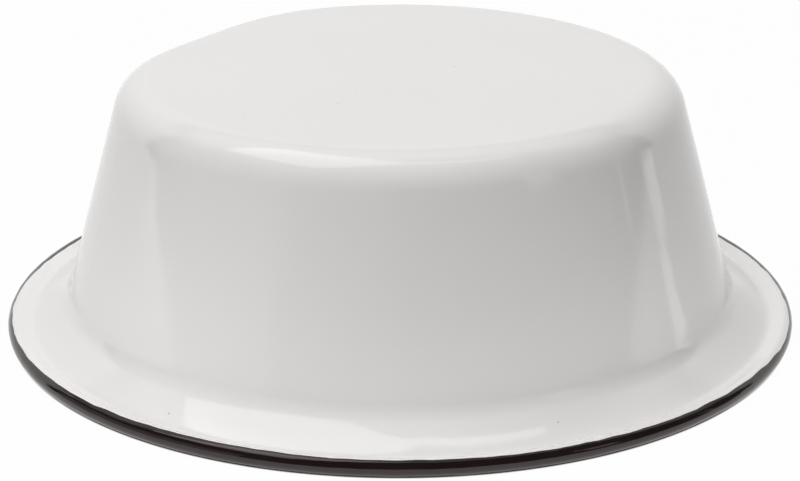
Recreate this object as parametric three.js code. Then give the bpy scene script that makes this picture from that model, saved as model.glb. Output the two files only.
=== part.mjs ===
// An enamelled steel bowl, standing upside down on its rim. Millimetres, +Z up.
// The bowl is one pressed sheet whose edge is rolled over, with glass coats fused to it.
// Every piece is a section turned about Z. Depth is measured into the sheet from its outside.

import * as THREE from 'three';

// Driving dimensions, outside the enamel
const RIM_DIAMETER = 300;
const HEIGHT = 97;
const BASE_FLAT_DIAMETER = 184;
const BASE_CORNER_RADIUS = 15.3;
const HEEL_RADIUS = 10;
const BRIM_WIDTH = 20.8;
const FLARE_RADIUS = 80;
const BRIM_DROOP = 23;
const ROLL_DIAMETER = 6.2;
const GROOVE_RADIUS = 3.2;

// Places on the rolled edge, in degrees about the roll: 0 is outward and 90 is its crest
const ROLL_END = 190;
const BAND_EDGE = 78;

// Thickness of the sheet and of each coat
const STEEL_THICKNESS = 0.7;
const OUTSIDE_ENAMEL = 0.3;
const INSIDE_ENAMEL = 0.3;
const RIM_ENAMEL = 0.3;

// A hair's breadth between a coat and the sheet, so that the two solids never share space
const COAT_GAP = 0.01;

// How finely the round stretches are cut
const TURN_STEPS = 60;
const CORNER_STEPS = 4;
const HEEL_STEPS = 3;
const FLARE_STEPS = 3;
const ROLL_STEPS = 6;
const ROLL_TOP_STEPS = 4;
const ROLL_HOLLOW_STEPS = 8;
const FLANK_STEPS = 3;
const GROOVE_STEPS = 3;

const HALF_TURN = Math.PI;
const UP = Math.PI / 2;
const DOWN = -Math.PI / 2;

// Depths of the faces of the sheet and its coats
const outsideFace = 0;
const steelOutside = OUTSIDE_ENAMEL;
const steelInside = steelOutside + STEEL_THICKNESS;
const insideFace = steelInside + INSIDE_ENAMEL;
const outsideCoatBack = steelOutside - COAT_GAP;
const insideCoatBack = steelInside + COAT_GAP;

const steel = new THREE.MeshStandardMaterial({ color: 0x8b8d90, roughness: 0.5, metalness: 0.9 });
const whiteEnamel = new THREE.MeshStandardMaterial({ color: 0xe9e8e5, roughness: 0.12, metalness: 0 });
const blackEnamel = new THREE.MeshStandardMaterial({ color: 0x1d1717, roughness: 0.15, metalness: 0 });

// Points of a section hold the radius as x and the height as y
function away(centre, angle, distance) {
  const x = centre.x + distance * Math.cos(angle);
  const y = centre.y + distance * Math.sin(angle);
  return new THREE.Vector2(x, y);
}

function angleTo(from, to) {
  return Math.atan2(to.y - from.y, to.x - from.x);
}

function arc(centre, radius, start, end, steps) {
  const points = [];
  for (let step = 0; step <= steps; step += 1) {
    const angle = start + ((end - start) * step) / steps;
    points.push(away(centre, angle, radius));
  }
  return points;
}

// Where a circle about one centre crosses a circle about another, on the left of the line between them
function circlesMeet(first, firstRadius, second, secondRadius) {
  const apart = first.distanceTo(second);
  const along = (apart ** 2 + firstRadius ** 2 - secondRadius ** 2) / (2 * apart);
  const offset = Math.acos(along / firstRadius);
  return away(first, angleTo(first, second) + offset, firstRadius);
}

// The rolled edge: a circle that rests on the ground and reaches the rim's full diameter
const rollRadius = ROLL_DIAMETER / 2;
const rollCentre = new THREE.Vector2(RIM_DIAMETER / 2 - rollRadius, rollRadius);
const rollSteel = rollRadius - RIM_ENAMEL;
const rollHollow = rollSteel - STEEL_THICKNESS;
const rollFlank = rollSteel + OUTSIDE_ENAMEL;
const rollCoatBack = rollSteel + COAT_GAP;
const rollRoot = DOWN - THREE.MathUtils.degToRad(BRIM_DROOP);
const bandEdge = THREE.MathUtils.degToRad(BAND_EDGE);
const rollEnd = THREE.MathUtils.degToRad(ROLL_END);

// The brim's long curve runs into the foot of the roll without a kink
const rootToFlare = FLARE_RADIUS + OUTSIDE_ENAMEL - rollHollow;
const flareCentre = away(rollCentre, rollRoot + HALF_TURN, rootToFlare);

// The heel is a tighter curve that carries on from the brim's long curve, a brim's width in from the rim
const flareReach = RIM_DIAMETER / 2 - BRIM_WIDTH - flareCentre.x;
const flareStart = -Math.acos(flareReach / FLARE_RADIUS);
const heelCentre = away(flareCentre, flareStart, FLARE_RADIUS - HEEL_RADIUS);

// The straight wall touches the base corner and the heel, so its tilt follows from where they lie
const cornerCentre = new THREE.Vector2(BASE_FLAT_DIAMETER / 2, HEIGHT - BASE_CORNER_RADIUS);
const cornerToHeel = cornerCentre.distanceTo(heelCentre);
const wallTurn = Math.acos((BASE_CORNER_RADIUS + HEEL_RADIUS) / cornerToHeel);
const wallNormal = angleTo(cornerCentre, heelCentre) + wallTurn;

// The sheet's cut edge stops above the brim, and the enamel fills the gap below it
const cutEdge = away(rollCentre, rollEnd, rollSteel);
const belowCutEdge = angleTo(cutEdge, flareCentre);

// The enamel rounds off the groove between the brim and the roll
const grooveCentre = circlesMeet(
  rollCentre,
  rollFlank + GROOVE_RADIUS,
  flareCentre,
  FLARE_RADIUS - GROOVE_RADIUS,
);
const grooveOnBrim = angleTo(grooveCentre, flareCentre);
const grooveOnRoll = angleTo(rollCentre, grooveCentre);

// The sheet's face at a depth, from the middle of the base to a place on the brim
function sheetFace(depth, flareEnd) {
  const middle = new THREE.Vector2(0, HEIGHT - depth);
  const corner = arc(cornerCentre, BASE_CORNER_RADIUS - depth, UP, wallNormal, CORNER_STEPS);
  const heelStart = wallNormal - HALF_TURN;
  const heel = arc(heelCentre, HEEL_RADIUS + depth, heelStart, flareStart, HEEL_STEPS);
  const flare = arc(flareCentre, FLARE_RADIUS + depth, flareStart, flareEnd - HALF_TURN, FLARE_STEPS);
  return [middle, ...corner, ...heel, ...flare.slice(1)];
}

// The same face on as far as the foot of the roll
function sheetFaceToRoll(depth) {
  const foot = away(flareCentre, rollRoot, FLARE_RADIUS + depth);
  return [...sheetFace(depth, belowCutEdge), foot];
}

// The roll from its foot, under the rim and up to the edge of the black band
function rollFace(radius) {
  const foot = away(rollCentre, rollRoot, radius);
  return [foot, ...arc(rollCentre, radius, DOWN, bandEdge, ROLL_STEPS)];
}

// The roll from the edge of the black band over to the sheet's cut edge
function rollTop(radius) {
  return arc(rollCentre, radius, bandEdge, rollEnd, ROLL_TOP_STEPS);
}

function turned(name, material, section) {
  const geometry = new THREE.LatheGeometry(section, TURN_STEPS);
  geometry.rotateX(UP);
  const mesh = new THREE.Mesh(geometry, material);
  mesh.name = name;
  return mesh;
}

// The pressed sheet, with its edge rolled up and over into an open tube
function makeSteelShell() {
  const section = [
    ...sheetFaceToRoll(steelInside).slice(0, -1),
    ...rollFace(rollSteel),
    ...rollTop(rollSteel).slice(1),
    ...arc(rollCentre, rollHollow, rollEnd, rollRoot, ROLL_HOLLOW_STEPS),
    ...sheetFace(steelOutside, belowCutEdge).reverse(),
  ];
  return turned('steel_shell', steel, section);
}

// White coat outside: base, wall and brim, then the groove and the roll's inner half
function makeOutsideEnamel() {
  const grooveStart = grooveOnRoll + HALF_TURN;
  const grooveEnd = grooveOnBrim + HALF_TURN;
  const groove = arc(grooveCentre, GROOVE_RADIUS, grooveStart, grooveEnd, GROOVE_STEPS);
  const section = [
    ...sheetFace(outsideCoatBack, belowCutEdge),
    ...rollTop(rollCoatBack).reverse(),
    ...arc(rollCentre, rollFlank, bandEdge, grooveOnRoll, FLANK_STEPS),
    ...groove.slice(1),
    ...sheetFace(outsideFace, grooveOnBrim).reverse().slice(1),
  ];
  return turned('outside_enamel', whiteEnamel, section);
}

// White coat inside the bowl, out to the foot of the roll
function makeInsideEnamel() {
  const section = [
    ...sheetFaceToRoll(insideFace),
    ...sheetFaceToRoll(insideCoatBack).reverse(),
  ];
  return turned('inside_enamel', whiteEnamel, section);
}

// Black coat over the outer half of the roll, which the bowl rests on when it stands upside down
function makeRimEnamel() {
  const face = rollFace(rollRadius);
  const section = [
    ...face,
    ...rollFace(rollCoatBack).reverse(),
    face[0],
  ];
  return turned('rim_enamel', blackEnamel, section);
}

const bowl = new THREE.Group();
bowl.add(makeSteelShell());
bowl.add(makeOutsideEnamel());
bowl.add(makeInsideEnamel());
bowl.add(makeRimEnamel());

export default bowl;
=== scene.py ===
import math

import bmesh
import bpy
import numpy as np
from mathutils import Matrix, Vector, noise


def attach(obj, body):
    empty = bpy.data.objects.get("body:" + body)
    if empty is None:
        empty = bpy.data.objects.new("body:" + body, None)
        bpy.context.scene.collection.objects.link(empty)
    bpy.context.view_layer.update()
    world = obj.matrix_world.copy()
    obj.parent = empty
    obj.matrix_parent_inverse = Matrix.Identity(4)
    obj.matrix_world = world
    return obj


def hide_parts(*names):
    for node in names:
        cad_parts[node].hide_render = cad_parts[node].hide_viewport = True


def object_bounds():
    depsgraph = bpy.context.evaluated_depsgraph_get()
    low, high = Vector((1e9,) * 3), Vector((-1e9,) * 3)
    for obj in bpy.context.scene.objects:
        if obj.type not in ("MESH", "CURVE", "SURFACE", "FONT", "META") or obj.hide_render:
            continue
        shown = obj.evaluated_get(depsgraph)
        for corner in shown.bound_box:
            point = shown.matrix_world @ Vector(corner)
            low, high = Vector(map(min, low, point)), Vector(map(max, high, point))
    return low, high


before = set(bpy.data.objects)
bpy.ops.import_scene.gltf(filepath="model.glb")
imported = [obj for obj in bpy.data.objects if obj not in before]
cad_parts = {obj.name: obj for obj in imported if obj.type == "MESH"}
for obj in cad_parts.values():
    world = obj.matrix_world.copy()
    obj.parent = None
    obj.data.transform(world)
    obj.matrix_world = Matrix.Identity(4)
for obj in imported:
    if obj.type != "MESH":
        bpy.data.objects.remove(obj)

# The looks of an enamelled steel bowl that stands upside down on its rim, in metres with +Z up.
# A section is turned about Z for each coat. Depth is measured into the sheet from its outside.
CAD_LOW, CAD_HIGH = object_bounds()
RIM_RADIUS = CAD_HIGH.x
HEIGHT = CAD_HIGH.z

# Sizes of the section, outside the enamel
BASE_FLAT_RADIUS = 0.092
BASE_CORNER_RADIUS = 0.0153
HEEL_RADIUS = 0.010
BRIM_WIDTH = 0.0208
FLARE_RADIUS = 0.080
BRIM_DROOP = math.radians(23)
ROLL_RADIUS = 0.0031
GROOVE_RADIUS = 0.0032
GROOVE_ON_ROLL = math.radians(115)
ROLL_END = math.radians(190)

# Thickness of the sheet and its coats
STEEL_THICKNESS = 0.0007
ENAMEL_THICKNESS = 0.0003
COAT_GAP = 0.00001

# Where the hand-dipped black band ends on the roll: 0 is outward and 90 degrees is the crest
BAND_EDGE = math.radians(72)
BAND_WAVER = math.radians(7)
BAND_WAVER_LENGTH = 0.007

# Where the dip ran higher or lower: azimuth, spread and change of the band's edge, in degrees
BAND_BUMPS = [
    (-132, 14, 7),
    (-112, 13, 20),
    (-88, 6, 7),
    (-15, 12, -24),
    (30, 22, 32),
    (90, 40, 35),
    (158, 18, 35),
    (184, 18, -12),
]

# The pressed sheet wanders from its true shape, and its base corner has one soft knock
WANDER = 0.00025
WANDER_LENGTH = 0.055
WANDER_STARTS_AT = 0.02
KNOCK_AZIMUTH = math.radians(146)
KNOCK_DEPTH = 0.0029
KNOCK_REACH = 0.020
KNOCK_SPREAD = 0.034

# Without a seed, the noise that makes the wander would start from the clock
WANDER_SEED = 1
noise.seed_set(WANDER_SEED)

# The glass is a little uneven
WHITE_RIPPLE = 0.000012
WHITE_RIPPLE_LENGTH = 0.012
BLACK_RIPPLE = 0.00009
BLACK_RIPPLE_LENGTH = 0.006

# How finely the round stretches are cut
TURN_STEPS = 360
BASE_STEPS = 20
CORNER_STEPS = 16
WALL_STEPS = 16
HEEL_STEPS = 16
FLARE_STEPS = 12
GROOVE_STEPS = 6
FLANK_STEPS = 10
ROLL_STEPS = 20
SAME_POINT = 0.000001
SHARP_EDGE = math.radians(50)

# The photograph's view
CAMERA_BACK = 0.909
CAMERA_HEIGHT = 0.3666
CAMERA_PITCH = math.radians(20.37)
CAMERA_ROLL = -0.002
LENS = 113.9
SENSOR = 36

UP = math.pi / 2
DOWN = -math.pi / 2
HALF_TURN = math.pi
FULL_TURN = 2 * math.pi


# Section points are arrays of radius and height, with one row for each azimuth or one row for all
def away(centre, angle, distance):
    return centre + distance * np.array([math.cos(angle), math.sin(angle)])


def angle_to(start, end):
    return math.atan2(end[1] - start[1], end[0] - start[0])


def arc(centre, radius, start, end, steps):
    angle = np.reshape(start + (end - start) * np.linspace(0, 1, steps + 1), (-1, steps + 1))
    return np.stack([centre[0] + radius * np.cos(angle), centre[1] + radius * np.sin(angle)], axis=-1)


def straight(start, end, steps):
    share = np.linspace(0, 1, steps + 1)[:, None]
    return (start + (end - start) * share)[None]


def join(*stretches):
    rows = [np.broadcast_to(stretch, (TURN_STEPS, *stretch.shape[1:])) for stretch in stretches]
    return np.concatenate(rows, axis=1)


def backwards(section):
    return section[:, ::-1]


# The rolled edge: a circle that rests on the ground and reaches the rim's full radius
ROLL_CENTRE = np.array([RIM_RADIUS - ROLL_RADIUS, ROLL_RADIUS])
ROLL_STEEL = ROLL_RADIUS - ENAMEL_THICKNESS
ROLL_HOLLOW = ROLL_STEEL - STEEL_THICKNESS
ROLL_COAT_BACK = ROLL_STEEL + COAT_GAP
ROLL_ROOT = DOWN - BRIM_DROOP

# Depths of the faces of the sheet and its coats
STEEL_OUTSIDE = ENAMEL_THICKNESS
STEEL_INSIDE = STEEL_OUTSIDE + STEEL_THICKNESS
INSIDE_FACE = STEEL_INSIDE + ENAMEL_THICKNESS
OUTSIDE_COAT_BACK = STEEL_OUTSIDE - COAT_GAP
INSIDE_COAT_BACK = STEEL_INSIDE + COAT_GAP

# The brim's long curve, the heel that carries on from it, and the wall between heel and base corner
FLARE_CENTRE = away(ROLL_CENTRE, ROLL_ROOT + HALF_TURN, FLARE_RADIUS + ENAMEL_THICKNESS - ROLL_HOLLOW)
FLARE_START = -math.acos((RIM_RADIUS - BRIM_WIDTH - FLARE_CENTRE[0]) / FLARE_RADIUS)
HEEL_CENTRE = away(FLARE_CENTRE, FLARE_START, FLARE_RADIUS - HEEL_RADIUS)
CORNER_CENTRE = np.array([BASE_FLAT_RADIUS, HEIGHT - BASE_CORNER_RADIUS])
WALL_TURN = math.acos((BASE_CORNER_RADIUS + HEEL_RADIUS) / math.dist(CORNER_CENTRE, HEEL_CENTRE))
WALL_NORMAL = angle_to(CORNER_CENTRE, HEEL_CENTRE) + WALL_TURN

# The sheet's cut edge stops above the brim
CUT_EDGE = away(ROLL_CENTRE, ROLL_END, ROLL_STEEL)
BELOW_CUT_EDGE = angle_to(FLARE_CENTRE, CUT_EDGE)


# The enamel that fills the groove there leaves the roll in a straight ramp and meets the brim in a fillet
def find_groove_centre():
    start = away(ROLL_CENTRE, GROOVE_ON_ROLL, ROLL_RADIUS + GROOVE_RADIUS)
    ramp = np.array([math.cos(GROOVE_ON_ROLL + UP), math.sin(GROOVE_ON_ROLL + UP)])
    offset = start - FLARE_CENTRE
    lead = ramp @ offset
    reach = FLARE_RADIUS - GROOVE_RADIUS
    return start + ramp * (math.sqrt(lead**2 - offset @ offset + reach**2) - lead)


GROOVE_CENTRE = find_groove_centre()
GROOVE_ON_BRIM = angle_to(FLARE_CENTRE, GROOVE_CENTRE)

AZIMUTHS = np.arange(TURN_STEPS) * FULL_TURN / TURN_STEPS


def find_band_edge():
    """The angle about the roll where the black ends, as a column with one row for each azimuth."""
    places = [Vector((math.cos(azimuth), math.sin(azimuth), 0)) * RIM_RADIUS for azimuth in AZIMUTHS]
    waver = [noise.noise(place / BAND_WAVER_LENGTH) for place in places]
    edge = BAND_EDGE + BAND_WAVER * np.array(waver)
    for azimuth, spread, change in np.radians(BAND_BUMPS):
        apart = (AZIMUTHS - azimuth + HALF_TURN) % FULL_TURN - HALF_TURN
        edge += change * np.exp(-((apart / spread) ** 2))
    return edge[:, None]


BAND = find_band_edge()


# The sheet's face at a depth, from the middle of the base to a place on the brim
def sheet_face(depth, flare_end):
    corner = arc(CORNER_CENTRE, BASE_CORNER_RADIUS - depth, UP, WALL_NORMAL, CORNER_STEPS)
    heel = arc(HEEL_CENTRE, HEEL_RADIUS + depth, WALL_NORMAL - HALF_TURN, FLARE_START, HEEL_STEPS)
    flare = arc(FLARE_CENTRE, FLARE_RADIUS + depth, FLARE_START, flare_end, FLARE_STEPS)
    base = straight(np.array([0, HEIGHT - depth]), corner[0, 0], BASE_STEPS)
    wall = straight(corner[0, -1], heel[0, 0], WALL_STEPS)
    return join(base, corner, wall, heel, flare)


# The roll from its foot, under the rim and up to the edge of the black band
def roll_face(radius):
    return join(arc(ROLL_CENTRE, radius, ROLL_ROOT, BAND, ROLL_STEPS))


# The roll from the edge of the black band over to an angle on its inner half
def roll_top(radius, end):
    return join(arc(ROLL_CENTRE, radius, BAND, end, FLANK_STEPS))


def warped(points):
    """Moves points of every layer alike: the sheet's slow wander, and the knock on its base corner."""
    outward = np.array([math.cos(KNOCK_AZIMUTH), math.sin(KNOCK_AZIMUTH), 0])
    across = np.array([-math.sin(KNOCK_AZIMUTH), math.cos(KNOCK_AZIMUTH), 0])
    upward = np.array([0, 0, 1])
    knock_way = (outward + upward) / math.sqrt(2)
    half_corner = BASE_CORNER_RADIUS / 2
    knock_at = (BASE_FLAT_RADIUS + half_corner) * outward + (HEIGHT - half_corner) * upward
    offset = points - knock_at
    along = offset @ across
    other = np.sqrt(np.maximum((offset**2).sum(-1) - along**2, 0))
    knock = KNOCK_DEPTH * np.exp(-((along / KNOCK_SPREAD) ** 2) - (other / KNOCK_REACH) ** 2)
    flat = points.reshape(-1, 3)
    wander = np.array([noise.noise_vector(Vector(p) / WANDER_LENGTH) for p in flat]).reshape(points.shape)
    rise = np.clip(points[..., 2:] / WANDER_STARTS_AT, 0, 1)
    return points + WANDER * rise * wander - knock[..., None] * knock_way


def in_space(section):
    radius, height = section[..., 0], section[..., 1]
    x = radius * np.cos(AZIMUTHS)[:, None]
    y = radius * np.sin(AZIMUTHS)[:, None]
    return warped(np.stack([x, y, height], axis=-1))


def rippled(points, size, length):
    """Moves a visible face in and out, as uneven glass does."""
    along = np.gradient(points, axis=1)
    around = np.roll(points, -1, axis=0) - np.roll(points, 1, axis=0)
    normal = np.cross(around, along)
    span = np.linalg.norm(normal, axis=-1, keepdims=True)
    normal = normal / np.where(span > 0, span, 1)
    bumps = [noise.noise(Vector(p) / length) for p in points.reshape(-1, 3)]
    return points + size * normal * np.array(bumps).reshape(points.shape[:2])[..., None]


def turned(name, material, skin, back):
    """A closed piece whose skin and back are faces in space, each running on from the other."""
    points = np.concatenate([skin, back, skin[:, :1]], axis=1)
    count = points.shape[1]
    corner = np.arange(TURN_STEPS)[:, None] * count + np.arange(count - 1)
    beside = np.roll(corner, -1, axis=0)
    quads = np.stack([corner, corner + 1, beside + 1, beside], axis=-1).reshape(-1, 4)
    mesh = bpy.data.meshes.new(name)
    mesh.from_pydata(points.reshape(-1, 3).tolist(), [], quads.tolist())
    work = bmesh.new()
    work.from_mesh(mesh)
    bmesh.ops.remove_doubles(work, verts=work.verts, dist=SAME_POINT)
    bmesh.ops.recalc_face_normals(work, faces=work.faces)
    work.to_mesh(mesh)
    work.free()
    mesh.shade_smooth()
    mesh.set_sharp_from_angle(angle=SHARP_EDGE)
    mesh.materials.append(material)
    piece = bpy.data.objects.new(name, mesh)
    bpy.context.scene.collection.objects.link(piece)
    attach(piece, "root")
    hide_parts(name.removesuffix("_coat"))


# White coat outside: base, wall and brim, then the groove and the roll's inner half
def make_outside_enamel(material):
    groove = arc(GROOVE_CENTRE, GROOVE_RADIUS, GROOVE_ON_BRIM, GROOVE_ON_ROLL - HALF_TURN, GROOVE_STEPS)
    skin = join(
        sheet_face(0, GROOVE_ON_BRIM),
        groove,
        backwards(roll_top(ROLL_RADIUS, GROOVE_ON_ROLL)),
    )
    back = join(
        roll_top(ROLL_COAT_BACK, ROLL_END),
        backwards(sheet_face(OUTSIDE_COAT_BACK, BELOW_CUT_EDGE)),
    )
    face = rippled(in_space(skin), WHITE_RIPPLE, WHITE_RIPPLE_LENGTH)
    turned("outside_enamel_coat", material, face, in_space(back))


# White coat inside the bowl, out to the foot of the roll
def make_inside_enamel(material):
    skin = sheet_face(INSIDE_FACE, ROLL_ROOT)
    back = backwards(sheet_face(INSIDE_COAT_BACK, ROLL_ROOT))
    face = rippled(in_space(skin), WHITE_RIPPLE, WHITE_RIPPLE_LENGTH)
    turned("inside_enamel_coat", material, face, in_space(back))


# Black coat over the outer half of the roll
def make_rim_enamel(material):
    face = rippled(in_space(roll_face(ROLL_RADIUS)), BLACK_RIPPLE, BLACK_RIPPLE_LENGTH)
    back = in_space(backwards(roll_face(ROLL_COAT_BACK)))
    turned("rim_enamel_coat", material, face, back)


# The pressed sheet under the coats, with its edge rolled up and over
def make_steel_shell(material):
    inner = join(
        sheet_face(STEEL_INSIDE, ROLL_ROOT),
        roll_face(ROLL_STEEL),
        roll_top(ROLL_STEEL, ROLL_END),
    )
    outer = join(
        arc(ROLL_CENTRE, ROLL_HOLLOW, ROLL_END, ROLL_ROOT, ROLL_STEPS),
        backwards(sheet_face(STEEL_OUTSIDE, BELOW_CUT_EDGE)),
    )
    turned("steel_shell_coat", material, in_space(inner), in_space(outer))


# White enamel: its tones, its pinholes and how even the glass is
WHITE_TONES = (0.84, 0.821, 0.808, 1), (0.88, 0.861, 0.848, 1)
WHITE_CLOUD_SCALE = 14.0
WHITE_ROUGHNESS = 0.04, 0.1
WHITE_SMEAR_SCALE = 40.0
WHITE_PEEL_SCALE = 260.0
WHITE_PEEL_DEPTH = 0.000006
WHITE_IOR = 1.58
PINHOLE_TONE = (0.25, 0.22, 0.2, 1)
PINHOLE_SCALE = 57.0
PINHOLE_CORE = 0.012
PINHOLE_EDGE = 0.026
PINHOLE_STRENGTH = 0.75

# Black enamel, which is brown where it mirrors the floor
BLACK_TONES = (0.004, 0.002, 0.002, 1), (0.013, 0.008, 0.008, 1)
BLACK_CLOUD_SCALE = 120.0
BLACK_ROUGHNESS = 0.03, 0.1
BLACK_PEEL_SCALE = 700.0
BLACK_PEEL_DEPTH = 0.00001
BLACK_IOR = 1.6
BLACK_TINT = (1, 0.86, 0.86, 1)

# Bare steel
STEEL_TONES = (0.5, 0.5, 0.51, 1), (0.6, 0.6, 0.61, 1)
STEEL_STREAK_SCALE = 300.0
STEEL_ROUGHNESS = 0.35, 0.5


def node(tree, kind, inputs=None, **settings):
    """Adds a shader node, sets its settings, and sets or links its inputs."""
    made = tree.nodes.new("ShaderNode" + kind)
    for name, value in settings.items():
        setattr(made, name, value)
    for name, value in (inputs or {}).items():
        if isinstance(value, bpy.types.NodeSocket):
            tree.links.new(value, made.inputs[name])
        else:
            made.inputs[name].default_value = value
    return made


def new_material(name):
    material = bpy.data.materials.new(name)
    material.use_nodes = True
    material.node_tree.nodes.clear()
    return material, material.node_tree


def object_place(tree):
    return node(tree, "TexCoord").outputs["Object"]


def cloud(tree, place, scale, detail):
    return node(tree, "TexNoise", {"Vector": place, "Scale": scale, "Detail": detail}).outputs["Fac"]


def blend(tree, share, tones):
    return node(tree, "MixRGB", {"Fac": share, "Color1": tones[0], "Color2": tones[1]}).outputs["Color"]


def ramp(tree, value, span, levels, smooth=False):
    """Runs from the first level to the second while the value runs across the span."""
    made = node(
        tree,
        "MapRange",
        {
            "Value": value,
            "From Min": span[0],
            "From Max": span[1],
            "To Min": levels[0],
            "To Max": levels[1],
        },
        interpolation_type="SMOOTHSTEP" if smooth else "LINEAR",
    )
    return made.outputs["Result"]


def product(tree, first, second):
    return node(tree, "Math", {0: first, 1: second}, operation="MULTIPLY").outputs["Value"]


def larger(tree, first, second):
    return node(tree, "Math", {0: first, 1: second}, operation="MAXIMUM").outputs["Value"]


def peel(tree, place, scale, detail, depth):
    """The normal of glass that is finely uneven."""
    height = cloud(tree, place, scale, detail)
    return node(tree, "Bump", {"Height": height, "Strength": 1.0, "Distance": depth}).outputs["Normal"]


def finish_material(tree, inputs):
    shader = node(tree, "BsdfPrincipled", inputs)
    node(tree, "OutputMaterial", {"Surface": shader.outputs["BSDF"]})


def make_white_enamel():
    material, tree = new_material("white_enamel")
    place = object_place(tree)
    tone = blend(tree, cloud(tree, place, WHITE_CLOUD_SCALE, 3.0), WHITE_TONES)
    nearest = node(tree, "TexVoronoi", {"Vector": place, "Scale": PINHOLE_SCALE}).outputs["Distance"]
    pinhole = ramp(tree, nearest, (PINHOLE_CORE, PINHOLE_EDGE), (PINHOLE_STRENGTH, 0.0))
    smear = cloud(tree, place, WHITE_SMEAR_SCALE, 4.0)
    finish_material(
        tree,
        {
            "Base Color": blend(tree, pinhole, (tone, PINHOLE_TONE)),
            "Roughness": ramp(tree, smear, (0.0, 1.0), WHITE_ROUGHNESS),
            "Normal": peel(tree, place, WHITE_PEEL_SCALE, 1.0, WHITE_PEEL_DEPTH),
            "IOR": WHITE_IOR,
        },
    )
    return material


def make_black_enamel():
    material, tree = new_material("black_enamel")
    place = object_place(tree)
    smear = cloud(tree, place, BLACK_CLOUD_SCALE, 3.0)
    finish_material(
        tree,
        {
            "Base Color": blend(tree, smear, BLACK_TONES),
            "Roughness": ramp(tree, smear, (0.0, 1.0), BLACK_ROUGHNESS),
            "Normal": peel(tree, place, BLACK_PEEL_SCALE, 2.0, BLACK_PEEL_DEPTH),
            "IOR": BLACK_IOR,
            "Specular Tint": BLACK_TINT,
        },
    )
    return material


def make_steel():
    material, tree = new_material("steel")
    streaks = cloud(tree, object_place(tree), STEEL_STREAK_SCALE, 4.0)
    finish_material(
        tree,
        {
            "Base Color": blend(tree, streaks, STEEL_TONES),
            "Roughness": ramp(tree, streaks, (0.0, 1.0), STEEL_ROUGHNESS),
            "Metallic": 1.0,
        },
    )
    return material


# The floor is white to the eye and in the gloss, and grey to bouncing light. Under the rim's foot its glow
# is taken away by distance from the axis: a painted dark ring at the bowl's foot, where only the floor's
# grey matt part, with its real shadow, shows.
FLOOR_SIZE = 8.0
FLOOR_GLOW = 0.98
FLOOR_BOUNCE = 0.5
# Radii over which the painted dark ring under the rim fades into the floor's full glow
FLOOR_PAINTED_SHADE_FADE = RIM_RADIUS - 0.0018, RIM_RADIUS - 0.001

# The room that shows in the gloss, by direction from the bowl: Y is 1 straight back and Z is 1 straight up
ROOM_LEVEL = 0.08
WALL_LEVEL = 0.92
WALL_BACK = 0.38, 0.46
WALL_TOP = 0.55, 0.68
CEILING_LEVEL = 0.75
CEILING_RISE = 0.5, 0.75
CEILING_BACK = 0.06, 0.36

# Lamps: name, centre, the point it faces, width and height, radiance, turn in degrees, and
# whether the gloss shows it
LAMPS = [
    ("overhead", (-0.446, 0.039, 1.2), (-0.446, 0.039, 0), (0.72, 0.8), 1.3, 33, True),
    ("overhead_end", (0.28, -0.04, 1.2), (0.28, -0.04, 0), (0.5, 0.09), 1.3, 17, True),
    ("left", (-1.1, -0.34, 0.28), (0, 0, 0.28), (1.4, 0.56), 0.25, 0, True),
    ("strip", (0.95, 0.25, 0.06), (0, 0, 0.06), (0.12, 0.12), 0.6, 0, True),
    ("strip_near", (0.427, 0.028, 0.001), (0.427, 0.028, 1), (0.32, 0.04), 0.7, -17, True),
    ("strip_far", (0.733, 0.122, 0.001), (0.733, 0.122, 1), (0.32, 0.075), 0.7, -17, True),
    ("thin", (1.0, -0.035, 0.2), (0, 0, 0.05), (0.03, 0.3), 0.45, 0, True),
    ("window", (0.8, -0.6, 0.36), (0, 0, 0.08), (0.2, 0.27), 0.6, 0, True),
    ("fill_front", (-0.57, -1.74, 0.5), (0, 0, 0.05), (1.0, 0.8), 3.0, 0, False),
    ("fill_top", (0, 0, 1.9), (0, 0, 0), (1.0, 1.0), 5.6, 0, False),
    ("table", (0, 0, 0.0005), (0, 0, 1), (0.36, 0.36), 0.98, 0, False),
]
WATTS_PER_RADIANCE = 4


def seen_by_eye(tree):
    """1 for rays that show the background: straight to the camera, mirrored, or through glass."""
    path = node(tree, "LightPath")
    mirrored = larger(tree, path.outputs["Is Camera Ray"], path.outputs["Is Glossy Ray"])
    return larger(tree, mirrored, path.outputs["Is Transmission Ray"])


def make_floor():
    material, tree = new_material("floor")
    from_axis = node(tree, "VectorMath", {0: object_place(tree)}, operation="LENGTH").outputs["Value"]
    # Painted shade: the glow is zero inside the rim's foot, so that ring stays dark to the eye and in the
    # roll's reflection
    glow = product(tree, seen_by_eye(tree), ramp(tree, from_axis, FLOOR_PAINTED_SHADE_FADE, (0.0, FLOOR_GLOW)))
    matt = node(tree, "BsdfDiffuse", {"Color": (FLOOR_BOUNCE, FLOOR_BOUNCE, FLOOR_BOUNCE, 1)})
    white = node(tree, "Emission", {"Color": (1, 1, 1, 1), "Strength": 1.0})
    mix = node(tree, "MixShader", {"Fac": glow, 1: matt.outputs["BSDF"], 2: white.outputs["Emission"]})
    node(tree, "OutputMaterial", {"Surface": mix.outputs["Shader"]})
    half = FLOOR_SIZE / 2
    corners = [(-half, -half, 0), (half, -half, 0), (half, half, 0), (-half, half, 0)]
    mesh = bpy.data.meshes.new("floor")
    mesh.from_pydata(corners, [], [(0, 1, 2, 3)])
    mesh.materials.append(material)
    floor = bpy.data.objects.new("floor", mesh)
    bpy.context.scene.collection.objects.link(floor)


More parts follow.
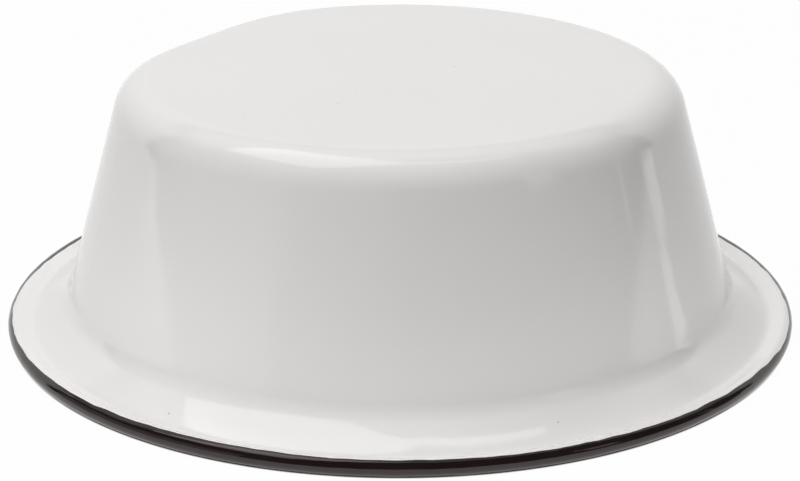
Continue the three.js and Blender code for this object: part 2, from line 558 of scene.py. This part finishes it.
def make_world():
    """White to the camera. The gloss shows a dark room with a white wall and a pale ceiling at the back."""
    world = bpy.data.worlds.new("studio")
    world.use_nodes = True
    tree = world.node_tree
    tree.nodes.clear()
    way = node(tree, "SeparateXYZ", {"Vector": node(tree, "TexCoord").outputs["Generated"]})
    back = way.outputs["Y"]
    up = way.outputs["Z"]
    wall = product(
        tree,
        ramp(tree, back, WALL_BACK, (0.0, WALL_LEVEL), smooth=True),
        ramp(tree, up, WALL_TOP, (1.0, 0.0), smooth=True),
    )
    ceiling = product(
        tree,
        ramp(tree, up, CEILING_RISE, (0.0, 1.0), smooth=True),
        ramp(tree, back, CEILING_BACK, (0.0, CEILING_LEVEL), smooth=True),
    )
    room = larger(tree, larger(tree, wall, ceiling), ROOM_LEVEL)
    shown = product(tree, room, seen_by_eye(tree))
    level = larger(tree, shown, node(tree, "LightPath").outputs["Is Camera Ray"])
    sky = node(tree, "Background", {"Color": (1, 1, 1, 1), "Strength": level})
    node(tree, "OutputWorld", {"Surface": sky.outputs["Background"]})
    bpy.context.scene.world = world


def make_lights():
    for name, centre, aim, size, radiance, turn, mirrored in LAMPS:
        data = bpy.data.lights.new(name, "AREA")
        data.shape = "RECTANGLE"
        data.size, data.size_y = size
        data.energy = WATTS_PER_RADIANCE * radiance * data.size * data.size_y
        panel = bpy.data.objects.new(name, data)
        panel.location = centre
        facing = (Vector(aim) - Vector(centre)).to_track_quat("-Z", "Y").to_matrix()
        panel.rotation_euler = (facing @ Matrix.Rotation(math.radians(turn), 3, "Z")).to_euler()
        panel.visible_camera = False
        panel.visible_glossy = mirrored
        bpy.context.scene.collection.objects.link(panel)


def make_camera():
    data = bpy.data.cameras.new("camera")
    data.lens = LENS
    data.sensor_width = SENSOR
    camera = bpy.data.objects.new("camera", data)
    turn = Matrix.Rotation(UP - CAMERA_PITCH, 4, "X") @ Matrix.Rotation(CAMERA_ROLL, 4, "Z")
    camera.matrix_world = Matrix.Translation((0, -CAMERA_BACK, CAMERA_HEIGHT)) @ turn
    bpy.context.scene.collection.objects.link(camera)
    bpy.context.scene.camera = camera


white_enamel = make_white_enamel()
make_steel_shell(make_steel())
make_outside_enamel(white_enamel)
make_inside_enamel(white_enamel)
make_rim_enamel(make_black_enamel())
make_floor()
make_world()
make_lights()
make_camera()
bpy.context.scene.view_settings.view_transform = "Standard"
